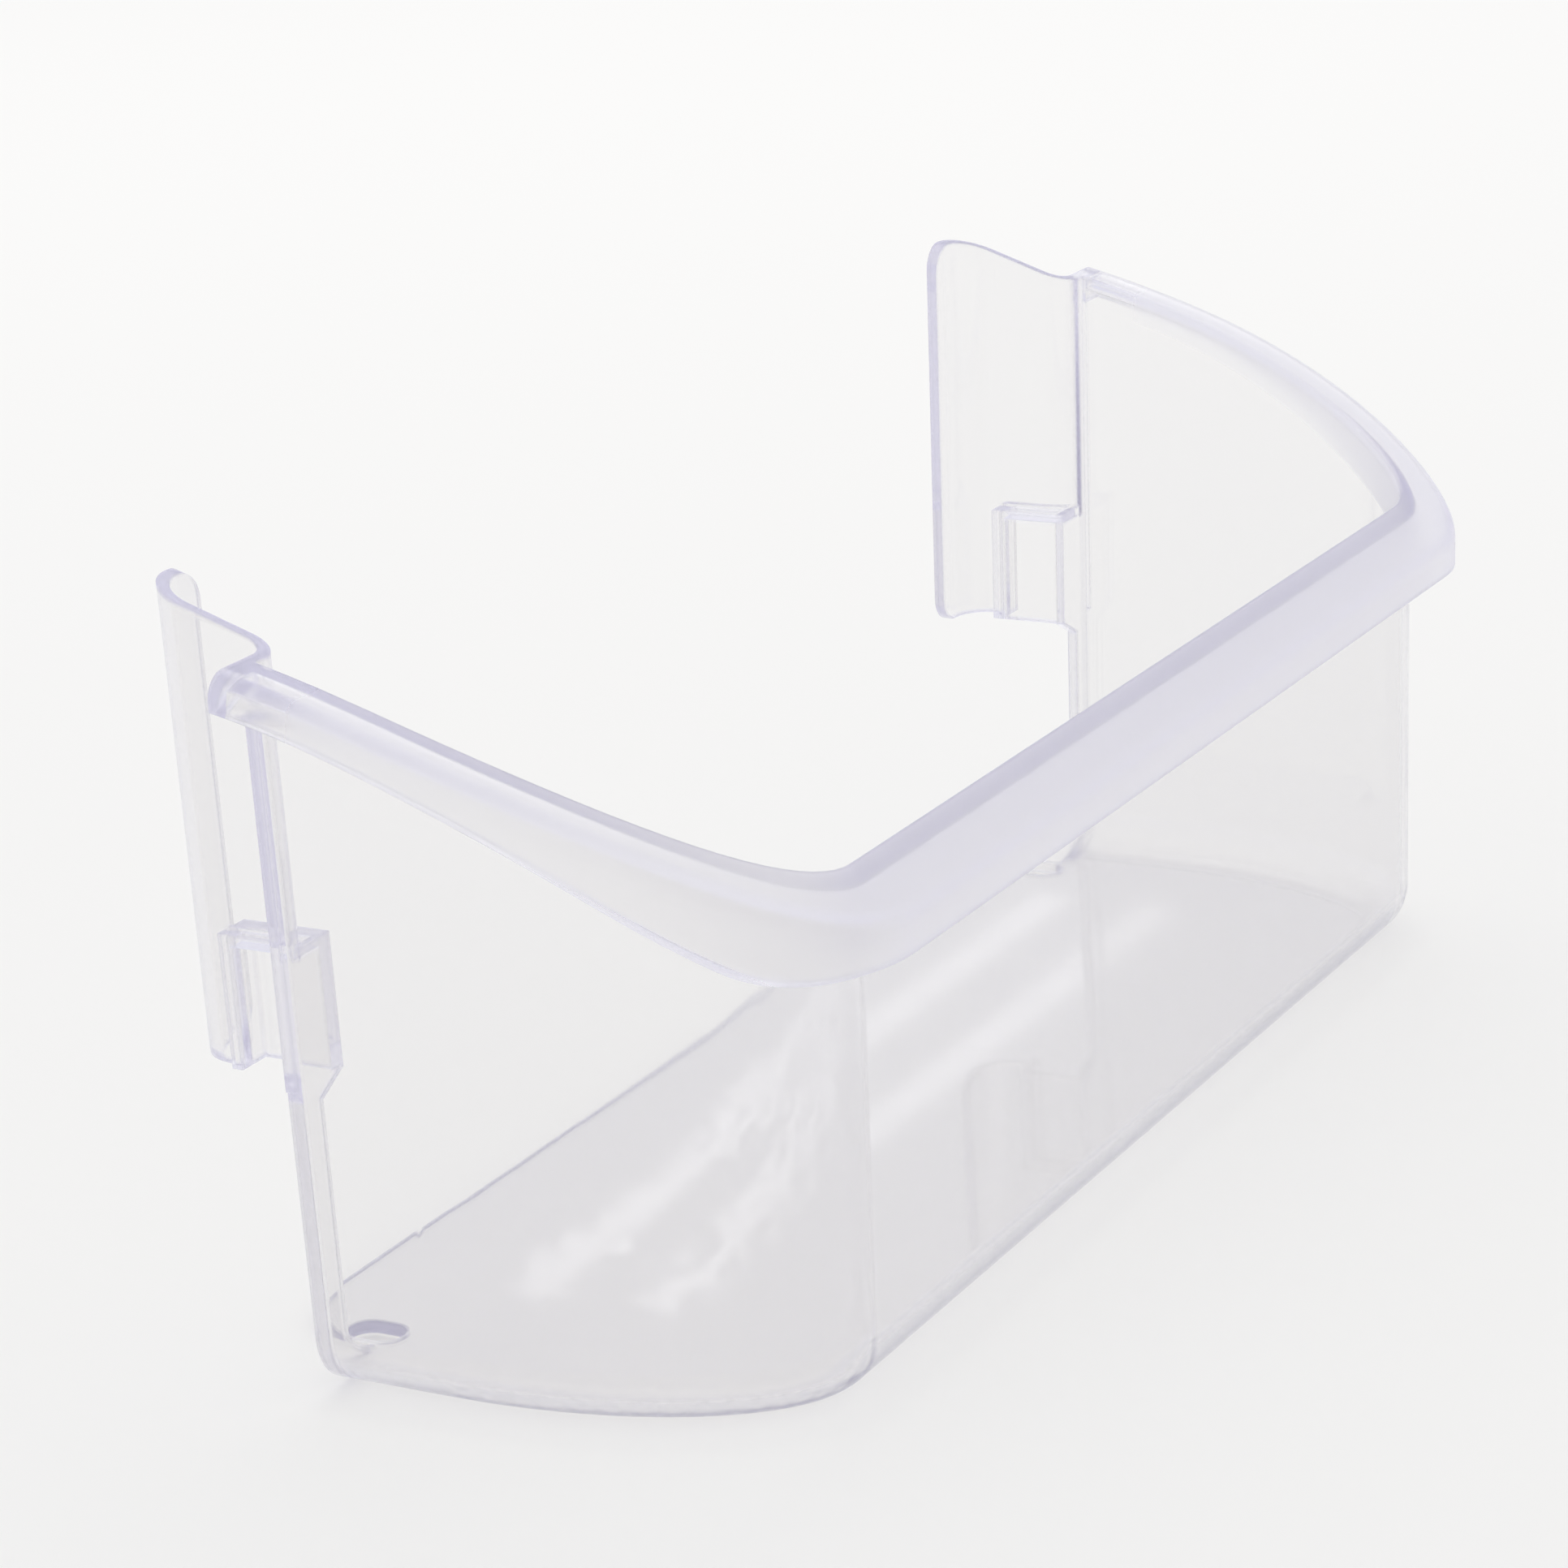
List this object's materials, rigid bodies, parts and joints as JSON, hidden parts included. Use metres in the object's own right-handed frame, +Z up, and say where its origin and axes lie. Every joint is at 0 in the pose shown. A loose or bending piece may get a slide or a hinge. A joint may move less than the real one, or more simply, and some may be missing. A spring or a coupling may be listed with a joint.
{
  "type": "fridge door shelf",
  "caption": "Clear moulded door shelf for a fridge: an open-backed bin with a sloping rolled rim and a hook flange with a lug pocket at each rear edge.",
  "frame": {"origin": "middle of the shelf's box, on the underside of its floor", "axes": "+X along the width to the right end, +Y to the rear, towards the door, +Z up"},
  "size_m": [0.3786, 0.138, 0.1548],
  "materials": {
    "clear_plastic": "water-clear moulded polystyrene, glossy, with a pale violet cast at its edges"
  },
  "bodies": {
    "root": {"door_shelf": "clear_plastic"}
  },
  "joints": []
}
